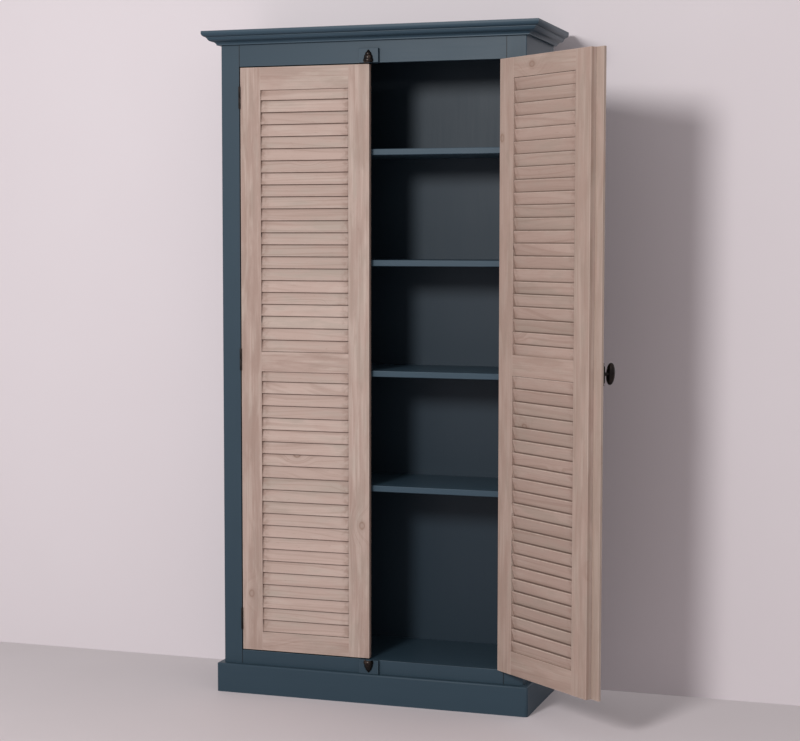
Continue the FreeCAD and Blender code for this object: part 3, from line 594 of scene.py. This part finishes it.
def pine_slats(node, on_right_door):
    """One field of slats: each place is given its slat's number, and its place across that slat."""
    shader = Shader("pine " + node, specular=0.25)
    place = shut_place(shader, on_right_door)
    x, y, z = shader.axes(place)
    low, high = shut_box(node, on_right_door)
    pitch = (high.z - low.z - slat_rise) / (slats_in_field - 1)
    over, behind = z - (low.z + slat_toe), y - (low.y + slat_lead)
    count = (over * math.sin(slat_lean) - behind * math.cos(slat_lean)) / (pitch * math.sin(slat_lean))
    number = (count + 0.5).floor()
    width = over * math.cos(slat_lean) + behind * math.sin(slat_lean) - number * pitch * math.cos(slat_lean)
    inner = (number - count).rise(-0.05, 0.05)
    seed = board_seed(node)
    tone = shader.chance(number + seed)
    hue = 0.2 + 0.6 * shader.chance(number + seed + 0.3)
    along = x + 5.0 * shader.chance(number + seed + 0.6)
    colour, roughness, height = pine_colour(shader, along, z + 3.0 * tone, y, tone, hue)
    # painted shade on the inner faces of the slats
    colour = shader.mix(inner * inner_face_shade, colour, pine_inside_shade)
    # the edges that show are rubbed, and painted shade darkens each slat where the next one laps over
    lap = slat_width - pitch * math.cos(slat_lean)
    top_edge = slat_width - width
    lap_shade_inside = 0.65 * inner * width.rise(lap + 0.0024, lap)
    lap_shade = lap_shade_inside + 0.6 * (1 - inner) * top_edge.rise(lap + 0.0022, lap)
    rubbed = (inner * top_edge + (1 - inner) * width).rise(0.002, 0.0006)
    patchy = 0.35 + 0.65 * shader.noise(shader.vector(along * 22.0, number, 0.0), 1.0, 3.0).rise(0.4, 0.65)
    colour = shader.mix(rubbed * patchy * 0.6, colour, pine_worn)
    colour = shader.mix(lap_shade, colour, pine_shade_and_stain)
    from_end = (high.x - low.x) / 2 - slat_bite - abs(x - (low.x + high.x) / 2)
    pooled = shader.noise(shader.vector(x * 45.0, z * 60.0, number), 1.0, 2.0).rise(0.42, 0.62)
    colour = shader.mix(from_end.rise(0.034, 0.006) * (0.15 + 0.5 * pooled), colour, pine_late)
    # painted shade, with some stain, where the slat runs into its pocket
    colour = shader.mix(from_end.rise(0.006, 0.001) * 0.3, colour, pine_shade_and_stain)
    colour = shader.mix(from_end.rise(0.0004, -0.0006) * 0.7, colour, pine_shade_and_stain)
    dress(node, shader.finish(colour, roughness, height, 0.0003))
    ease(node, 0.0006)


for name, on_right in (("left", False), ("right", True)):
    for field in ("upper", "lower"):
        pine_slats(f"{name}_{field}_slats", on_right)


# ---- Meeting strip ----
# A rounded pine strip planted on the right door, lapping over the edge of the left one. It is
# glued and carries the surface bolt.
pine_board("meeting_strip", 2, True, 0, 0.1)


# ---- Surface bolt ----
# A cast case over a pinion that drives two half-round rods up and down, each through two guides.
# It is black waxed iron, held to the strip with slotted screws.
plain_iron(("case_plate", "bolt_case", "rod_guides", "upper_rod", "lower_rod"))


def steel(name):
    """Plain turned steel with fine scratches and a trace of grease."""
    shader = Shader("steel " + name, metallic=1.0)
    place = shader.position()
    cloud = shader.noise(place, 90.0, 3.0)
    scratches = shader.noise(shader.node("ShaderNodeMapping", {}, {"Vector": place, "Scale": (900, 900, 60)}),
                             1.0, 3.0)
    colour = shader.mix(cloud, linear(150, 149, 148), linear(112, 108, 104))
    return shader.finish(colour, 0.28 + 0.2 * cloud, scratches, 0.00005)


dress("pinion", steel("pinion"))
ease("pinion", 0.0001)

guide_length = 0.014
guide_screw_x = 0.0143
guides_low, guides_high = shut_box("rod_guides", True)
ends = (guides_low.z + guide_length / 2, guides_high.z - guide_length / 2)
levels = [level for end in ends for level in (end, (end + knob_place.z) / 2)]
plate_front = shut_box("case_plate", True)[0].y
guide_spots = [(x, plate_front, level) for x in (-guide_screw_x, guide_screw_x) for level in levels]
small_head = screw_head(radius=0.0027, height=0.0011, slot_width=0.0008)
set_screws("guide_screws", small_head, guide_spots, (0, -1, 0), "right_door", door_open)

case_screw_x = 0.0115
case_screw_z = 0.0305
case_front = shut_box("bolt_case", True)[0].y
case_spots = [(x, case_front, knob_place.z + z) for x in (-case_screw_x, case_screw_x)
              for z in (-case_screw_z, case_screw_z)]
set_screws("case_screws", small_head, case_spots, (0, -1, 0), "right_door", door_open)


# ---- Knob ----
# A turned oval of black iron on a waisted neck that swells into a round rose. It turns with the
# pinion, and handling keeps it smoother than the rest of the bolt.
knob_radius = 0.013
knob_half_height = 0.0325
knob_lean = math.radians(6)
knob_steps = 14
knob_fullness = 0.85             # under 1 the oval is fuller towards its ends than an ellipse
rose_radius = 0.013
rose_rim = 0.003
rose_chamfer = 0.0008
rose_length = 0.015
neck_shoulder = 0.0015           # from the rim of the rose in to the foot of the neck
neck_radius = 0.0055
neck_flare = 0.008
neck_steps = 6
rose_gap = 0.0003
rose_back = case_front - rose_gap


def turned(name, rings, sides=40):
    """A piece turned about the Z axis, drawn out from a circle through rings of (radius, height)."""
    bpy.ops.object.select_all(action="DESELECT")
    radius, height = rings[0]
    bpy.ops.mesh.primitive_circle_add(vertices=sides, radius=radius, location=(0, 0, height))
    piece = bpy.context.object
    piece.name = name
    bpy.ops.object.transform_apply()
    bpy.ops.object.mode_set(mode="EDIT")
    for next_radius, next_height in rings[1:]:
        bpy.ops.mesh.extrude_region_move(TRANSFORM_OT_translate={"value": (0, 0, next_height - height)})
        grown = next_radius / radius
        bpy.ops.transform.resize(value=(grown, grown, 1), center_override=(0, 0, next_height))
        radius, height = next_radius, next_height
    bpy.ops.mesh.select_all(action="SELECT")
    bpy.ops.mesh.fill_holes(sides=0)
    bpy.ops.mesh.normals_make_consistent(inside=False)
    bpy.ops.object.mode_set(mode="OBJECT")
    return piece


oval_turns = [math.pi * (step + 0.5) / knob_steps - math.pi / 2 for step in range(knob_steps)]
oval_rings = [(knob_radius * math.cos(turn) ** knob_fullness, knob_half_height * math.sin(turn))
              for turn in oval_turns]
oval = turned("oval_knob", oval_rings)
oval.data.transform(Matrix.Translation(knob_place) @ Matrix.Rotation(-knob_lean, 4, "Y"))

neck_length = rose_back - (knob_place.y + knob_radius / 2)
hollow_turns = [math.pi / 2 * step / neck_steps for step in range(neck_steps + 1)]
neck_rings = [(rose_radius, 0.0), (rose_radius, rose_rim - rose_chamfer),
              (rose_radius - rose_chamfer, rose_rim)]
neck_foot = rose_radius - neck_shoulder
neck_rings += [(neck_foot - (neck_foot - neck_radius) * math.sin(turn),
                rose_rim + (rose_length - rose_rim) * (1 - math.cos(turn))) for turn in hollow_turns]
neck_rings += [(neck_radius + (neck_flare - neck_radius) * (1 - math.cos(turn)),
                rose_length + (neck_length - rose_length) * math.sin(turn)) for turn in hollow_turns[1:]]
neck = turned("knob_neck", neck_rings)
to_front = Matrix.Rotation(math.radians(90), 4, "X")
neck.data.transform(Matrix.Translation((knob_place.x, rose_back, knob_place.z)) @ to_front)

bpy.ops.object.select_all(action="DESELECT")
neck.select_set(True)
oval.select_set(True)
bpy.context.view_layer.objects.active = oval
bpy.ops.object.join()
oval.data.transform(door_open)
bpy.ops.object.shade_smooth_by_angle(angle=math.radians(35))
oval.data.materials.append(iron("oval knob", 0.5, 0.26))
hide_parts("knob")
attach(oval, "knob")


# ---- Keepers ----
# Two ringed half cones of cast iron on the painted blocks, with a square mortise for the end of a
# rod. They are worn browner and smoother than the rest of the iron.
dress("keepers", iron("keepers", 1.0, 0.24))
ease("keepers", 0.0004)


# ---- Inside bolt ----
# A plate with two staples inside the left door, a round steel bolt with a side grip, and a staple
# behind the top rail that it slides up into.
plain_iron(("bolt_plate", "bolt_strike"))
dress("inside_bolt", steel("inside_bolt"))
ease("inside_bolt", 0.0004)

plate_screw_x = 0.0085
plate_face = 0.002               # face of either plate over its back
plate_screw_shares = (0.24, 0.5, 0.76)   # how far up the plate its screws are
strike_screw_shares = (0.5,)
for name, body, shares in (("bolt_plate", "left_door", plate_screw_shares),
                           ("bolt_strike", "cabinet", strike_screw_shares)):
    low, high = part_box(name)
    bolt_x = (low.x + high.x) / 2
    spots = [(bolt_x + side * plate_screw_x, low.y + plate_face, low.z + share * (high.z - low.z))
             for side in (-1, 1) for share in shares]
    set_screws(name + "_screws", small_head, spots, (0, 1, 0), body)
bpy.data.objects.remove(small_head)
